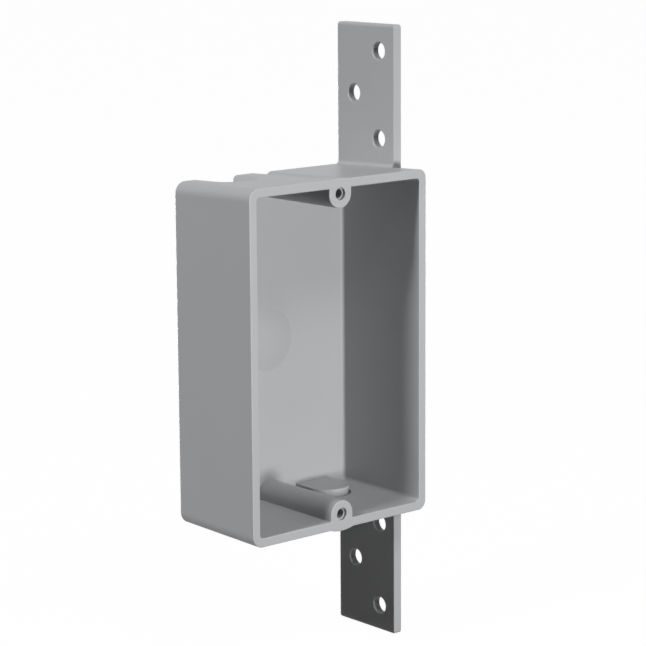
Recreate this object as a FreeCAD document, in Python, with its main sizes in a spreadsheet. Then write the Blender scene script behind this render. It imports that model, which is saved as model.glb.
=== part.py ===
import FreeCAD, Part
import math
import os
import Sketcher

# One moulded PVC outlet box for new work: a shallow single-gang tray with a nailing flange.
# X runs across the opening, Y into the box from its rim, Z up. The origin is the centre of the rim.

TOLERANCE = 0.001

# Driving sizes in millimetres, drafts in degrees
SIZES = {
    "box_width": (59.2, "outside across the rim"),
    "box_height": (91.0, "outside down the rim"),
    "box_depth": (31.65, "rim to the outside of the back"),
    "side_draft": (2.2, "how far the top and the two sides lean in"),
    "bottom_draft": (0.2, "how far the bottom leans in"),
    "corner_round": (3.1, "upright corners on the free side"),
    "flange_side_round": (2.5, "upright corners in front of the flange"),
    "back_round": (0.6, "rounding round the back"),
    "rim_wall": (2.35, "wall at the rim"),
    "back_wall": (1.9, "thickness of the back"),
    "cavity_draft": (0.75, "how far each inner side leans in"),
    "cavity_corner": (1.1, "upright corners of the cavity"),
    "cavity_round": (0.9, "where the inner sides meet the back"),
    "screw_inset": (3.83, "end of the box to a device screw at the rim"),
    "boss_radius": (3.65, "half-round of a screw boss"),
    "screw_mouth": (3.25, "diameter of a screw hole's lead-in"),
    "mouth_depth": (0.95, "depth of the lead-in"),
    "screw_pilot": (2.5, "diameter that the screw cuts its thread in"),
    "pilot_depth": (22.0, "depth of a screw hole"),
    "swell_radius": (12.0, "how round a swell over a boss is"),
    "top_swell": (0.25, "how far the top boss swells the wall at the rim"),
    "bottom_swell": (0.65, "how far the bottom boss swells it"),
    "swell_length": (11.5, "depth at which a swell has gone"),
    "scoop_start": (4.5, "depth at which the scoop behind a boss begins"),
    "scoop_lift": (1.7, "a scoop's axis above the end of the box"),
    "scoop_nose": (2.9, "radius of a scoop where it begins"),
    "scoop_tail": (4.25, "radius of a scoop at the back"),
    "knockout_offset": (15.3, "knockout centre from the middle of the box"),
    "knockout_width": (11.4, "width of the plug that breaks out"),
    "knockout_length": (14.05, "plug's front to the back of the box"),
    "web_level": (0.9, "roof of the groove, in from the outside at the back"),
    "groove_width": (0.55, "groove round the plug inside the box"),
    "plug_depth": (4.58, "plug's inside, in from the rim's edge"),
    "plug_root": (0.3, "how far the plug runs past the roof of the groove"),
    "plug_edge": (0.65, "edge of the plug outside its hollow"),
    "plug_skin": (1.3, "thickness of the plug under its hollow"),
    "lip_round": (2.0, "rounded lip of the hollow"),
    "gate_radius": (8.5, "round dome inside the back"),
    "gate_rise": (1.0, "height of the dome"),
    "gate_pocket": (6.0, "radius of the shallow pocket behind the dome"),
    "gate_sink": (0.8, "depth of that pocket"),
    "flange_length": (164.4, "nailing flange from end to end"),
    "flange_thick": (2.6, "thickness of the flange"),
    "flange_front": (9.4, "rim to the front edge of the flange"),
    "flange_proud": (0.1, "how far its outer face clears the box's side"),
    "flange_corner": (0.8, "corners of the flange"),
    "flange_fillet": (1.0, "fillet between the flange and the box"),
    "nail_hole": (4.6, "diameter of a nail hole"),
    "nail_break": (0.2, "edge break of a nail hole"),
    "nail_flare": (0.6, "chamfer of a nail hole on the stud's side"),
    "front_column": (5.8, "flange's front edge to the front nails"),
    "rear_column": (6.75, "flange's back edge to the rear nail"),
    "end_nail": (7.0, "flange's end to the end nail"),
    "near_nail": (6.7, "box's edge to the nearest nail"),
    "rim_break": (0.2, "edge break round the rim"),
    "overrun": (5.0, "how far a cutter runs past the face it opens through"),
}

# Sizes that follow from the driving ones
DERIVED = {
    "half_width": "box_width / 2",
    "half_height": "box_height / 2",
    "back_half_width": "half_width - box_depth * tan(side_draft * 1deg)",
    "top_back": "half_height - box_depth * tan(side_draft * 1deg)",
    "bottom_back": "half_height - box_depth * tan(bottom_draft * 1deg)",
    "cavity_depth": "box_depth - back_wall",
    "cavity_half_width": "half_width - rim_wall",
    "cavity_half_height": "half_height - rim_wall",
    "cavity_lean": "cavity_depth * tan(cavity_draft * 1deg)",
    "mid_back": "box_depth - back_wall / 2",
    "screw_height": "half_height - screw_inset",
    "boss_root": "(cavity_half_height + top_back) / 2",
    "top_fade": "swell_length * tan(side_draft * 1deg)",
    "bottom_fade": "swell_length * tan(bottom_draft * 1deg)",
    "scoop_axis": "half_height + scoop_lift",
    "plug_half": "knockout_width / 2",
    "plug_centre": "box_depth - knockout_length + plug_half",
    "groove_half": "plug_half + groove_width",
    "hollow_half": "plug_half - plug_edge",
    "top_roof": "top_back - web_level",
    "bottom_roof": "bottom_back - web_level",
    "plug_inside": "half_height - plug_depth",
    "hollow_floor": "plug_inside + plug_skin",
    "gate_sphere": "(gate_radius * gate_radius + gate_rise * gate_rise) / (2 * gate_rise)",
    "gate_top": "cavity_depth - gate_rise",
    "flange_half": "flange_length / 2",
    "flange_outer": "half_width - flange_front * tan(side_draft * 1deg) + flange_proud",
    "flange_inner": "flange_outer - flange_thick",
    "end_nail_height": "flange_half - end_nail",
    "near_nail_height": "half_height + near_nail",
    "mid_nail_height": "(end_nail_height + near_nail_height) / 2",
    "front_nail_depth": "flange_front + front_column",
    "rear_nail_depth": "box_depth - rear_column",
}

doc = FreeCAD.newDocument("new_work_outlet_box")
sheet = doc.addObject("Spreadsheet::Sheet", "Sizes")
for row, (alias, (value, note)) in enumerate(SIZES.items(), start=1):
    sheet.set(f"A{row}", str(value))
    sheet.setAlias(f"A{row}", alias)
    sheet.set(f"B{row}", note)
for row, (alias, formula) in enumerate(DERIVED.items(), start=len(SIZES) + 1):
    sheet.set(f"A{row}", f"={formula}")
    sheet.setAlias(f"A{row}", alias)
doc.recompute()

body = doc.addObject("PartDesign::Body", "outlet_box")
body.Label = "outlet_box"


def size(alias):
    return float(sheet.get(alias))


def origin_part(role):
    return next(part for part in body.Origin.OriginFeatures if part.Role == role)


def bind(thing, formulas):
    for prop, formula in formulas.items():
        thing.setExpression(prop, formula)


def feature(kind, name, formulas, **settings):
    made = body.newObject(f"PartDesign::{kind}", name)
    for prop, value in settings.items():
        setattr(made, prop, value)
    bind(made, formulas)
    doc.recompute()
    return made


# A sketch faces -Y on the XZ plane, +Z on the XY plane and +X on the YZ plane
def sketch_on(plane, name, offset="0"):
    sketch = body.newObject("Sketcher::SketchObject", name)
    sketch.AttachmentSupport = [(origin_part(plane), "")]
    sketch.MapMode = "FlatFace"
    bind(sketch, {"AttachmentOffset.Base.z": offset})
    doc.recompute()
    return sketch


def value_of(formula):
    return float(sheet.evalExpression(formula))


def point(x_formula, y_formula):
    return FreeCAD.Vector(value_of(x_formula), value_of(y_formula), 0)


def measure(sketch, kind, targets, formula):
    # A driving constraint that starts at its formula's value and stays bound to it
    index = sketch.addConstraint(Sketcher.Constraint(kind, *targets, value_of(formula)))
    sketch.renameConstraint(index, f"size{index}")
    bind(sketch, {f"Constraints.size{index}": formula})


def draw_arch(sketch, x_formula, y_formula, radius_formula, foot_formula):
    # A half-round with its centre at x, y and two straight legs that run to the foot line
    centre = point(x_formula, y_formula)
    radius = value_of(radius_formula)
    foot = value_of(foot_formula)
    circle = Part.Circle(centre, FreeCAD.Vector(0, 0, 1), radius)
    round_end = sketch.addGeometry(Part.ArcOfCircle(circle, math.pi, 2 * math.pi), False)
    corners = [
        FreeCAD.Vector(centre.x + radius, centre.y, 0),
        FreeCAD.Vector(centre.x + radius, foot, 0),
        FreeCAD.Vector(centre.x - radius, foot, 0),
        FreeCAD.Vector(centre.x - radius, centre.y, 0),
    ]
    lines = [Part.LineSegment(first, second) for first, second in zip(corners, corners[1:])]
    right_leg, foot_line, left_leg = [sketch.addGeometry(line, False) for line in lines]
    sketch.addConstraint([
        Sketcher.Constraint("Tangent", round_end, 2, right_leg, 1),
        Sketcher.Constraint("Coincident", right_leg, 2, foot_line, 1),
        Sketcher.Constraint("Coincident", foot_line, 2, left_leg, 1),
        Sketcher.Constraint("Tangent", left_leg, 2, round_end, 1),
        Sketcher.Constraint("Vertical", right_leg),
        Sketcher.Constraint("Vertical", left_leg),
        Sketcher.Constraint("Horizontal", foot_line),
    ])
    measure(sketch, "Radius", (round_end,), radius_formula)
    measure(sketch, "DistanceX", (-1, 1, round_end, 3), x_formula)
    measure(sketch, "DistanceY", (-1, 1, round_end, 3), y_formula)
    measure(sketch, "DistanceY", (-1, 1, foot_line, 1), foot_formula)


def draw_disc(sketch, x_formula, y_formula, radius_formula):
    circle = Part.Circle(point(x_formula, y_formula), FreeCAD.Vector(0, 0, 1), value_of(radius_formula))
    disc = sketch.addGeometry(circle, False)
    measure(sketch, "Radius", (disc,), radius_formula)
    measure(sketch, "DistanceX", (-1, 1, disc, 3), x_formula)
    measure(sketch, "DistanceY", (-1, 1, disc, 3), y_formula)


def draw_plate(sketch, left_formula, right_formula, half_formula):
    # A rectangle between two distances, as far above the sketch's axis as below it
    left, right, half = [value_of(formula) for formula in (left_formula, right_formula, half_formula)]
    corners = [
        FreeCAD.Vector(left, -half, 0),
        FreeCAD.Vector(right, -half, 0),
        FreeCAD.Vector(right, half, 0),
        FreeCAD.Vector(left, half, 0),
    ]
    lines = [Part.LineSegment(corners[i - 1], corners[i]) for i in range(4)]
    near_side, foot, far_side, top = [sketch.addGeometry(line, False) for line in lines]
    sketch.addConstraint([
        Sketcher.Constraint("Coincident", near_side, 2, foot, 1),
        Sketcher.Constraint("Coincident", foot, 2, far_side, 1),
        Sketcher.Constraint("Coincident", far_side, 2, top, 1),
        Sketcher.Constraint("Coincident", top, 2, near_side, 1),
        Sketcher.Constraint("Vertical", near_side),
        Sketcher.Constraint("Horizontal", foot),
        Sketcher.Constraint("Vertical", far_side),
        Sketcher.Constraint("Horizontal", top),
    ])
    measure(sketch, "DistanceX", (-1, 1, foot, 1), left_formula)
    measure(sketch, "DistanceX", (-1, 1, foot, 2), right_formula)
    measure(sketch, "DistanceY", (foot, 1, -1, 1), half_formula)
    measure(sketch, "DistanceY", (-1, 1, top, 1), half_formula)


def draw_cap(sketch, radius_formula, sphere_formula, crown_formula, edge_formula, foot_formula):
    # Half the section of a shallow dome about the sketch's upright axis, crown towards the origin
    radius, sphere, crown, edge, foot = [
        value_of(formula)
        for formula in (radius_formula, sphere_formula, crown_formula, edge_formula, foot_formula)
    ]
    circle = Part.Circle(FreeCAD.Vector(0, crown + sphere, 0), FreeCAD.Vector(0, 0, 1), sphere)
    quarter_turn = math.pi / 2
    start = 3 * quarter_turn
    dome = sketch.addGeometry(Part.ArcOfCircle(circle, start, start + math.asin(radius / sphere)), False)
    corners = [
        FreeCAD.Vector(radius, edge, 0),
        FreeCAD.Vector(radius, foot, 0),
        FreeCAD.Vector(0, foot, 0),
        FreeCAD.Vector(0, crown, 0),
    ]
    lines = [Part.LineSegment(first, second) for first, second in zip(corners, corners[1:])]
    side, base, axis = [sketch.addGeometry(line, False) for line in lines]
    sketch.addConstraint([
        Sketcher.Constraint("Coincident", dome, 2, side, 1),
        Sketcher.Constraint("Coincident", side, 2, base, 1),
        Sketcher.Constraint("Coincident", base, 2, axis, 1),
        Sketcher.Constraint("Coincident", axis, 2, dome, 1),
        Sketcher.Constraint("Vertical", side),
        Sketcher.Constraint("Horizontal", base),
        Sketcher.Constraint("PointOnObject", axis, 1, -2),
        Sketcher.Constraint("PointOnObject", axis, 2, -2),
        Sketcher.Constraint("PointOnObject", dome, 3, -2),
    ])
    measure(sketch, "Radius", (dome,), sphere_formula)
    measure(sketch, "DistanceX", (-1, 1, side, 1), radius_formula)
    measure(sketch, "DistanceY", (-1, 1, axis, 2), crown_formula)
    measure(sketch, "DistanceY", (-1, 1, base, 1), foot_formula)


def edge_names(base, test):
    numbered = enumerate(base.Shape.Edges, start=1)
    return [f"Edge{number}" for number, edge in numbered if test(edge.BoundBox)]


def near(value, target):
    return abs(value - target) < TOLERANCE


# Tray: the drafted outside, open at the rim
tray = feature("AdditiveWedge", "tray", {
    "Xmin": "-Sizes.half_width",
    "Xmax": "Sizes.half_width",
    "Ymin": "0",
    "Ymax": "Sizes.box_depth",
    "Zmin": "-Sizes.half_height",
    "Zmax": "Sizes.half_height",
    "X2min": "-Sizes.back_half_width",
    "X2max": "Sizes.back_half_width",
    "Z2min": "-Sizes.bottom_back",
    "Z2max": "Sizes.top_back",
})

# Nailing flange: one plate down the right side, flush with the back
plate_sketch = sketch_on("YZ_Plane", "plate_outline", "Sizes.flange_inner")
draw_plate(plate_sketch, "Sizes.flange_front", "Sizes.box_depth", "Sizes.flange_half")
plate = feature("Pad", "flange_plate", {"Length": "Sizes.flange_thick"}, Profile=plate_sketch)


def at_junction(box):
    # Where the flange's inner face meets the top or bottom of the box
    on_inner_face = near(box.XMin, size("flange_inner")) and near(box.XMax, size("flange_inner"))
    return on_inner_face and box.YLength > TOLERANCE and max(box.ZMax, -box.ZMin) < size("half_height")


def at_free_corner(box):
    return box.YLength > TOLERANCE and near(box.XMin, -size("half_width"))


def at_flange_side_corner(box):
    return box.YLength > TOLERANCE and near(box.XMax, size("half_width"))


def at_plate_corner(box):
    # The edges that run across the flange's thickness at its two ends
    across = near(box.YLength, 0) and near(box.ZLength, 0)
    return across and near(abs(box.ZMin), size("flange_half"))


def rounded(name, base, test, radius):
    return feature("Fillet", name, {"Radius": radius}, Base=(base, edge_names(base, test)))


junction = rounded("flange_fillets", plate, at_junction, "Sizes.flange_fillet")
free_side = rounded("free_corners", junction, at_free_corner, "Sizes.corner_round")
flange_side = rounded("flange_side_corners", free_side, at_flange_side_corner, "Sizes.flange_side_round")


def at_back(box):
    # The back outline of the box and the flange's inner edges
    inner = box.XMin < size("flange_inner") + TOLERANCE
    return inner and near(box.YMin, size("box_depth")) and max(box.ZMax, -box.ZMin) < size("flange_half")


back_edge = rounded("back_edge", flange_side, at_back, "Sizes.back_round")
rounded("flange_corners", back_edge, at_plate_corner, "Sizes.flange_corner")


# A round cutter or core whose axis runs into the box from a given depth
def cone(kind, name, first_radius, second_radius, length, height, depth="0"):
    return feature(f"{kind}Cone", name, {
        "Radius1": first_radius,
        "Radius2": second_radius,
        "Height": length,
        "AttachmentOffset.Base.y": height,
        "AttachmentOffset.Base.z": f"-({depth})",
    }, AttachmentSupport=[(origin_part("XZ_Plane"), "")], MapMode="FlatFace",
        AttachmentOffset=FreeCAD.Placement(FreeCAD.Vector(), FreeCAD.Rotation(0, 180, 0)))


# Swells: each screw boss pushes the wall out at the rim and fades into the draft
for end, side in (("top", 1), ("bottom", -1)):
    cone("Additive", f"{end}_swell_cone", "Sizes.swell_radius",
         f"Sizes.swell_radius - Sizes.{end}_swell - Sizes.{end}_fade", "Sizes.swell_length",
         f"{side} * (Sizes.half_height + Sizes.{end}_swell - Sizes.swell_radius)")

# Cavity: the drafted inside, with rounded corners
cavity = feature("SubtractiveWedge", "cavity", {
    "Xmin": "-Sizes.cavity_half_width",
    "Xmax": "Sizes.cavity_half_width",
    "Ymin": "0",
    "Ymax": "Sizes.cavity_depth",
    "Zmin": "-Sizes.cavity_half_height",
    "Zmax": "Sizes.cavity_half_height",
    "X2min": "Sizes.cavity_lean - Sizes.cavity_half_width",
    "X2max": "Sizes.cavity_half_width - Sizes.cavity_lean",
    "Z2min": "Sizes.cavity_lean - Sizes.cavity_half_height",
    "Z2max": "Sizes.cavity_half_height - Sizes.cavity_lean",
})


def at_cavity_corner(box):
    return near(box.YMin, 0) and near(box.YMax, size("cavity_depth"))


def at_cavity_floor(box):
    return near(box.YMin, size("cavity_depth")) and near(box.YMax, size("cavity_depth"))


cavity_corners = rounded("cavity_corners", cavity, at_cavity_corner, "Sizes.cavity_corner")
rounded("cavity_floor", cavity_corners, at_cavity_floor, "Sizes.cavity_round")

# Screw boss at the top: full depth, flush with the rim, with a stepped hole
boss_sketch = sketch_on("XZ_Plane", "boss_outline")
draw_arch(boss_sketch, "0", "Sizes.screw_height", "Sizes.boss_radius", "Sizes.boss_root")
boss = feature("Pad", "boss", {"Length": "Sizes.mid_back"}, Profile=boss_sketch, Reversed=True)

pilot_sketch = sketch_on("XZ_Plane", "pilot_outline")
draw_disc(pilot_sketch, "0", "Sizes.screw_height", "Sizes.screw_pilot / 2")
pilot = feature("Pocket", "pilot", {"Length": "Sizes.pilot_depth"}, Profile=pilot_sketch)

mouth_sketch = sketch_on("XZ_Plane", "mouth_outline")
draw_disc(mouth_sketch, "0", "Sizes.screw_height", "Sizes.screw_mouth / 2")
mouth = feature("Pocket", "mouth", {"Length": "Sizes.mouth_depth"}, Profile=mouth_sketch)

# Scoop behind the boss: a cone along the outside that opens at the back
scoop = cone("Subtractive", "scoop", "Sizes.scoop_nose", "Sizes.scoop_tail",
             "Sizes.box_depth - Sizes.scoop_start", "Sizes.scoop_axis", "Sizes.scoop_start")


# The bottom repeats the top, turned half a turn about the depth axis
half_turn = feature("PolarPattern", "half_turn", {}, Originals=[boss, pilot, mouth, scoop],
                    Axis=(origin_part("Y_Axis"), [""]), Angle=360, Occurrences=2)
body.Tip = half_turn
doc.recompute()


# Knockouts: at each end a plug behind a thin ring, hollow outside and open at the back of the box
def knockout_arch(name, side, level, half, foot):
    sketch = sketch_on("XY_Plane", f"{name}_outline", f"{side} * ({level})")
    draw_arch(sketch, f"{-side} * Sizes.knockout_offset", "Sizes.plug_centre", half, foot)
    return sketch


for end, side in (("top", 1), ("bottom", -1)):
    roof = f"Sizes.{end}_roof"
    groove_sketch = knockout_arch(f"{end}_groove", side, roof, "Sizes.groove_half", "Sizes.cavity_depth")
    feature("Pocket", f"{end}_groove", {"Length": f"{roof} - Sizes.plug_inside"}, Profile=groove_sketch,
            Reversed=side < 0)
    plug_sketch = knockout_arch(f"{end}_plug", side, "Sizes.plug_inside", "Sizes.plug_half",
                                "Sizes.mid_back")
    feature("Pad", f"{end}_plug", {"Length": f"{roof} + Sizes.plug_root - Sizes.plug_inside"},
            Profile=plug_sketch, Reversed=side < 0)
    hollow_sketch = knockout_arch(f"{end}_hollow", side, "Sizes.hollow_floor", "Sizes.hollow_half",
                                  "Sizes.box_depth + Sizes.overrun")
    hollow = feature("Pocket", f"{end}_hollow", {"Length": "Sizes.overrun"}, Profile=hollow_sketch,
                     Reversed=side > 0)


def at_lip(box):
    # The front arc of a hollow where it opens through the outside
    front = near(box.YMin, size("plug_centre") - size("hollow_half"))
    return front and near(box.XLength, 2 * size("hollow_half")) and (
        max(box.ZMax, -box.ZMin) > size("hollow_floor") + TOLERANCE
    )


rounded("knockout_lips", hollow, at_lip, "Sizes.lip_round")

# Moulding gate: a shallow dome inside the back, and a pocket behind it
gate_sketch = sketch_on("XY_Plane", "gate_outline")
draw_cap(gate_sketch, "Sizes.gate_radius", "Sizes.gate_sphere", "Sizes.gate_top", "Sizes.cavity_depth",
         "Sizes.mid_back")
feature("Revolution", "gate_dome", {}, Profile=gate_sketch, ReferenceAxis=(gate_sketch, ["V_Axis"]),
        Angle=360)

gate_pocket_sketch = sketch_on("XZ_Plane", "gate_pocket_outline", "-Sizes.box_depth")
draw_disc(gate_pocket_sketch, "0", "0", "Sizes.gate_pocket")
feature("Pocket", "gate_pocket_cut", {"Length": "Sizes.gate_sink"}, Profile=gate_pocket_sketch,
        Reversed=True)

# Nail holes: two near the front edge and one at the rear above the box, and the same below it
nail_sketch = sketch_on("YZ_Plane", "nail_outline", "Sizes.flange_outer")
for column, level in (
    ("front_nail_depth", "end_nail_height"),
    ("front_nail_depth", "near_nail_height"),
    ("rear_nail_depth", "mid_nail_height"),
):
    draw_disc(nail_sketch, f"Sizes.{column}", f"Sizes.{level}", "Sizes.nail_hole / 2")
nails = feature("Pocket", "nail_holes", {"Length": "Sizes.flange_thick + Sizes.overrun"},
                Profile=nail_sketch)
lower_nails = feature("Mirrored", "lower_nail_holes", {}, Originals=[nails],
                      MirrorPlane=(origin_part("XY_Plane"), [""]))
body.Tip = lower_nails
doc.recompute()


def around_nail(box):
    return near(box.XLength, 0) and near(box.YLength, size("nail_hole"))


def at_nail_mouth(box):
    return around_nail(box) and near(box.XMin, size("flange_inner"))


def at_nail_exit(box):
    return around_nail(box) and near(box.XMin, size("flange_outer"))


breaks = feature("Chamfer", "nail_breaks", {"Size": "Sizes.nail_break"},
                 Base=(lower_nails, edge_names(lower_nails, at_nail_mouth)))
flares = feature("Chamfer", "nail_flares", {"Size": "Sizes.nail_flare"},
                 Base=(breaks, edge_names(breaks, at_nail_exit)))


def at_rim(box):
    # Every edge of the rim but the mouths of the screw holes
    return near(box.YMin, 0) and near(box.YMax, 0) and not near(box.XLength, size("screw_mouth"))


rounded("rim_edges", flares, at_rim, "Sizes.rim_break")

# Every object has to be sound before the box is written
for thing in doc.Objects:
    if {"Invalid", "Error"} & set(thing.State):
        raise RuntimeError(f"{thing.Label} failed: {thing.getStatusString()}")
if body.Shape.isNull() or not body.Shape.isValid() or len(body.Shape.Solids) != 1:
    raise RuntimeError("The box is not one sound solid")
os.makedirs("parts", exist_ok=True)
body.Shape.exportStep(f"parts/{body.Label}.step")
print(f"{body.Label}: {body.Shape.Volume:.1f} mm3, {len(body.Shape.Faces)} faces")
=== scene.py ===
import math

import bpy
import bmesh
from mathutils import Matrix, Vector


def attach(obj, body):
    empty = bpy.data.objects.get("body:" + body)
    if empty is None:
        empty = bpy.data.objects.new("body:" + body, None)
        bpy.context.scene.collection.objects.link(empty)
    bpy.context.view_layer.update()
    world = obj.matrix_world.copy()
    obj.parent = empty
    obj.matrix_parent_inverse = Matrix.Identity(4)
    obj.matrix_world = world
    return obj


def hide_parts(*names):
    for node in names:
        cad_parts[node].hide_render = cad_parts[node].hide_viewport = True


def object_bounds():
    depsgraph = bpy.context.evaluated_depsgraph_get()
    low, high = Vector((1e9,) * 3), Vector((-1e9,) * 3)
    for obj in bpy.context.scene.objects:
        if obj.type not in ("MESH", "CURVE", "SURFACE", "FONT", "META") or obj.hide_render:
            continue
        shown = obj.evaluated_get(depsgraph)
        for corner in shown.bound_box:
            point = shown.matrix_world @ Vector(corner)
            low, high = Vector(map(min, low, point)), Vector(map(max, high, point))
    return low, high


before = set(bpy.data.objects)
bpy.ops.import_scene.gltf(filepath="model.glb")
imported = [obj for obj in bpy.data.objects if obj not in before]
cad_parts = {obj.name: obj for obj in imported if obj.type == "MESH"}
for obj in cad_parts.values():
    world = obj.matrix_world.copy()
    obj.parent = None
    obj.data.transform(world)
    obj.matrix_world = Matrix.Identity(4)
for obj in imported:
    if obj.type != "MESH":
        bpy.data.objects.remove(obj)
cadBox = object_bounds()
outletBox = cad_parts["outlet_box"]
scene = bpy.context.scene
scene.view_settings.view_transform = "Standard"
print("frame loaded:", sorted(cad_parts))


# Shader maths: a Channel stands for one output socket, so masks and mixes read as plain sums
class Channel:
    def __init__(self, finish, socket):
        self.finish = finish
        self.socket = socket

    def combine(self, operation, first, second):
        made = self.finish.node("ShaderNodeMath", {"operation": operation}, {0: first, 1: second})
        return Channel(self.finish, made.outputs["Value"])

    def __add__(self, other):
        return self.combine("ADD", self, other)

    def __radd__(self, other):
        return self.combine("ADD", other, self)

    def __sub__(self, other):
        return self.combine("SUBTRACT", self, other)

    def __rsub__(self, other):
        return self.combine("SUBTRACT", other, self)

    def __mul__(self, other):
        return self.combine("MULTIPLY", self, other)

    def __rmul__(self, other):
        return self.combine("MULTIPLY", other, self)


class Finish:
    def __init__(self, owner):
        owner.use_nodes = True
        self.owner = owner
        self.tree = owner.node_tree
        self.tree.nodes.clear()

    def node(self, kind, settings=None, sockets=None):
        made = self.tree.nodes.new(kind)
        for name, value in (settings or {}).items():
            setattr(made, name, value)
        for name, value in (sockets or {}).items():
            self.feed(made.inputs[name], value)
        return made

    def feed(self, socket, value):
        if isinstance(value, Channel):
            value = value.socket
        if isinstance(value, bpy.types.NodeSocket):
            self.tree.links.new(value, socket)
        else:
            socket.default_value = value

    def channel(self, made, output):
        return Channel(self, made.outputs[output])

    def noise(self, place, scale, detail, roughness=0.5):
        made = self.node("ShaderNodeTexNoise", {"noise_dimensions": "3D"}, {
            "Vector": place, "Scale": scale, "Detail": detail, "Roughness": roughness,
        })
        return self.channel(made, "Fac")


# Moulded PVC: an even cool grey, satin, with the faint flow marks and grain of the mould
mouldedPvc = {
    "paler": (0.412, 0.417, 0.427, 1),
    "darker": (0.384, 0.389, 0.399, 1),
    "cloudScale": 38,        # cloudy flow marks, per metre
    "cloudDetail": 4,
    "grainScale": 1500,      # skin of the mould
    "grainDetail": 3,
    "grainDepth": 0.000012,
    "waveScale": 110,        # shallow unevenness of the walls
    "waveDetail": 2,
    "waveDepth": 0.00006,
    "edgeBreak": 0.0003,     # how far the crisp edges look rounded
    "edgeSamples": 8,
    "ior": 1.45,
    "shine": 0.34,
    "roughness": 0.42,
    "roughnessSpread": 0.10,
}


def makeMouldedPvc():
    finish = Finish(bpy.data.materials.new("mouldedPvc"))
    place = finish.node("ShaderNodeTexCoord").outputs["Object"]
    clouds = finish.noise(place, mouldedPvc["cloudScale"], mouldedPvc["cloudDetail"])
    grain = finish.noise(place, mouldedPvc["grainScale"], mouldedPvc["grainDetail"])
    waves = finish.noise(place, mouldedPvc["waveScale"], mouldedPvc["waveDetail"])
    # The mix node's colours are its inputs 6 and 7 and its output 2
    body = finish.node("ShaderNodeMix", {"data_type": "RGBA"}, {
        "Factor": clouds, 6: mouldedPvc["darker"], 7: mouldedPvc["paler"],
    })
    roughness = mouldedPvc["roughness"] + (clouds + grain - 1) * mouldedPvc["roughnessSpread"]
    relief = grain * mouldedPvc["grainDepth"] + waves * mouldedPvc["waveDepth"]
    softEdge = finish.node("ShaderNodeBevel", {"samples": mouldedPvc["edgeSamples"]}, {
        "Radius": mouldedPvc["edgeBreak"],
    })
    bump = finish.node("ShaderNodeBump", None, {
        "Strength": 1, "Distance": 1, "Height": relief, "Normal": softEdge.outputs["Normal"],
    })
    skin = finish.node("ShaderNodeBsdfPrincipled", None, {
        "Base Color": body.outputs[2], "Roughness": roughness, "IOR": mouldedPvc["ior"],
        "Specular IOR Level": mouldedPvc["shine"], "Normal": bump.outputs["Normal"],
    })
    finish.node("ShaderNodeOutputMaterial", None, {"Surface": skin.outputs["BSDF"]})
    return finish.owner


# The skin is a merged copy of the node, in which the one astray normal at the dome's tip is put right
boxSkin = {
    "mergeReach": 0.000001,
    "domeTip": (0, 0.02875, 0),
    "tipReach": 0.0001,
    "tipFacing": (0, -1, 0),     # out of the box's mouth
}


def makeBoxSkin():
    mesh = outletBox.data.copy()
    mesh.name = "boxSkin"
    # The directions ride through the merge as an attribute, because it may change the order of the corners
    facings = [corner.vector.copy() for corner in mesh.corner_normals]
    tip = Vector(boxSkin["domeTip"])
    for loop in mesh.loops:
        if (mesh.vertices[loop.vertex_index].co - tip).length < boxSkin["tipReach"]:
            facings[loop.index] = Vector(boxSkin["tipFacing"])
    carried = mesh.attributes.new("facing", "FLOAT_VECTOR", "CORNER")
    for entry, facing in zip(carried.data, facings):
        entry.vector = facing
    solid = bmesh.new()
    solid.from_mesh(mesh)
    bmesh.ops.remove_doubles(solid, verts=solid.verts, dist=boxSkin["mergeReach"])
    solid.to_mesh(mesh)
    solid.free()
    mesh.normals_split_custom_set([entry.vector.copy() for entry in mesh.attributes["facing"].data])
    mesh.attributes.remove(mesh.attributes["facing"])
    mesh.materials.clear()
    mesh.materials.append(makeMouldedPvc())
    skin = bpy.data.objects.new("boxSkin", mesh)
    scene.collection.objects.link(skin)
    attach(skin, "root")
    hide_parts("outlet_box")


makeBoxSkin()
print("outlet box finished")


# Studio: a floor under the flange that is seen white, white beyond it, and soft lamps
studio = {
    "floorSize": 6.0,
    "floorGap": 0.0001,      # keeps the floor out of the flange's end face
    "floorGrey": 0.05,       # what the floor throws back on the object
    "floorPale": 0.9,        # the floor as it is seen, before white is mixed in
    "floorWhite": 0.985,     # how much of that look is plain white
    "worldGrey": 0.02,       # what the surroundings throw on the object
}


def seenWhite(finish):
    # 1 for a ray that shows the background: straight, mirrored or through glass
    path = finish.node("ShaderNodeLightPath")
    seen = finish.channel(path, "Is Camera Ray")
    for kind in ("Is Glossy Ray", "Is Transmission Ray"):
        seen = seen.combine("MAXIMUM", seen, finish.channel(path, kind))
    return seen


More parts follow.
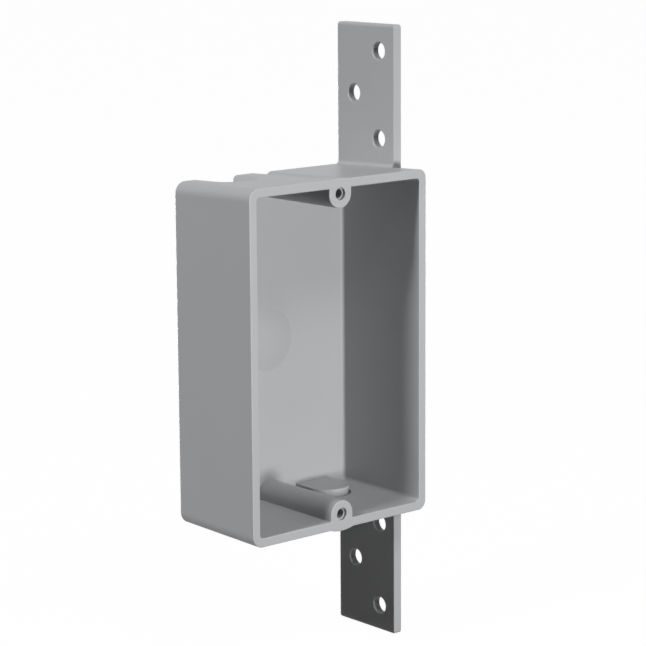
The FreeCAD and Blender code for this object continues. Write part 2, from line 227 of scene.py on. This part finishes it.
def makeFloor():
    finish = Finish(bpy.data.materials.new("studioFloor"))
    dim = finish.node("ShaderNodeBsdfDiffuse", None, {"Color": [studio["floorGrey"]] * 3 + [1]})
    pale = finish.node("ShaderNodeBsdfDiffuse", None, {"Color": [studio["floorPale"]] * 3 + [1]})
    white = finish.node("ShaderNodeEmission", None, {"Color": (1, 1, 1, 1), "Strength": 1})
    look = finish.node("ShaderNodeMixShader", None, {
        0: studio["floorWhite"], 1: pale.outputs["BSDF"], 2: white.outputs["Emission"],
    })
    mixed = finish.node("ShaderNodeMixShader", None, {
        0: seenWhite(finish), 1: dim.outputs["BSDF"], 2: look.outputs["Shader"],
    })
    finish.node("ShaderNodeOutputMaterial", None, {"Surface": mixed.outputs["Shader"]})
    mesh = bpy.data.meshes.new("studioFloor")
    sheet = bmesh.new()
    bmesh.ops.create_grid(sheet, x_segments=1, y_segments=1, size=studio["floorSize"] / 2)
    bmesh.ops.translate(sheet, verts=sheet.verts, vec=(0, 0, cadBox[0].z - studio["floorGap"]))
    sheet.to_mesh(mesh)
    sheet.free()
    mesh.materials.append(finish.owner)
    floor = bpy.data.objects.new("studioFloor", mesh)
    floor.visible_shadow = False    # some lamps stand lower than it
    scene.collection.objects.link(floor)


def makeWorld():
    world = bpy.data.worlds.new("studio")
    scene.world = world
    finish = Finish(world)
    seen = seenWhite(finish)
    strength = studio["worldGrey"] + seen * (1 - studio["worldGrey"])
    light = finish.node("ShaderNodeBackground", None, {"Color": (1, 1, 1, 1), "Strength": strength})
    finish.node("ShaderNodeOutputWorld", None, {"Surface": light.outputs["Background"]})


# Lamps: where each one stands from the middle of the box, in degrees and metres.
# The first four light what the photograph shows, backLamp and farLamp the back and the stud side.
lamps = {
    "frontLamp": {"azimuth": 0, "elevation": -5, "distance": 2.0, "size": 0.28, "power": 23},
    "nearLamp": {"azimuth": 4, "elevation": 8, "distance": 0.18, "size": 0.03, "power": 0.09},
    "sideLamp": {"azimuth": -87.3, "elevation": 36, "distance": 2.0, "size": 0.3, "power": 28},
    "highLamp": {"azimuth": -5, "elevation": 52, "distance": 2.0, "size": 0.6, "power": 12},
    "backLamp": {"azimuth": 160, "elevation": -9, "distance": 2.0, "size": 0.5, "power": 24},
    "farLamp": {"azimuth": 100, "elevation": -8, "distance": 2.0, "size": 0.5, "power": 22},
}


def lookFrom(azimuth, elevation):
    # The direction towards a viewer: azimuth 0 is straight in front of the rim
    turn, rise = math.radians(azimuth), math.radians(elevation)
    return Vector((math.sin(turn) * math.cos(rise), -math.cos(turn) * math.cos(rise), math.sin(rise)))


def makeLamps():
    middle = (cadBox[0] + cadBox[1]) / 2
    for name, plan in lamps.items():
        data = bpy.data.lights.new(name, "AREA")
        data.shape = "DISK"
        data.size = plan["size"]
        data.energy = plan["power"]
        lamp = bpy.data.objects.new(name, data)
        lamp.visible_camera = False
        toLamp = lookFrom(plan["azimuth"], plan["elevation"])
        lamp.location = middle + toLamp * plan["distance"]
        lamp.rotation_euler = toLamp.to_track_quat("Z", "Y").to_euler()
        scene.collection.objects.link(lamp)


makeFloor()
makeWorld()
makeLamps()
print("studio lit")

# Camera: the photograph's own place and lens, in metres, degrees and millimetres
view = {
    "place": (-0.403215, -0.459343, 0.125322),
    "yaw": 40.844,
    "pitch": 10.811,
    "roll": 0.369,
    "lens": 136.35,
    "sensor": 36,
    "nearest": 0.01,
}


def makeCamera():
    yaw, pitch, roll = [math.radians(view[name]) for name in ("yaw", "pitch", "roll")]
    ahead = Vector((math.sin(yaw) * math.cos(pitch), math.cos(yaw) * math.cos(pitch), -math.sin(pitch)))
    level = Vector((math.cos(yaw), -math.sin(yaw), 0))
    down = ahead.cross(level)
    right = level * math.cos(roll) + down * math.sin(roll)
    up = level * math.sin(roll) - down * math.cos(roll)
    data = bpy.data.cameras.new("camera")
    data.sensor_width = view["sensor"]
    data.lens = view["lens"]
    data.clip_start = view["nearest"]
    camera = bpy.data.objects.new("camera", data)
    turned = Matrix((right, up, -ahead)).transposed().to_4x4()
    camera.matrix_world = Matrix.Translation(view["place"]) @ turned
    scene.collection.objects.link(camera)
    scene.camera = camera


makeCamera()
print("camera set")
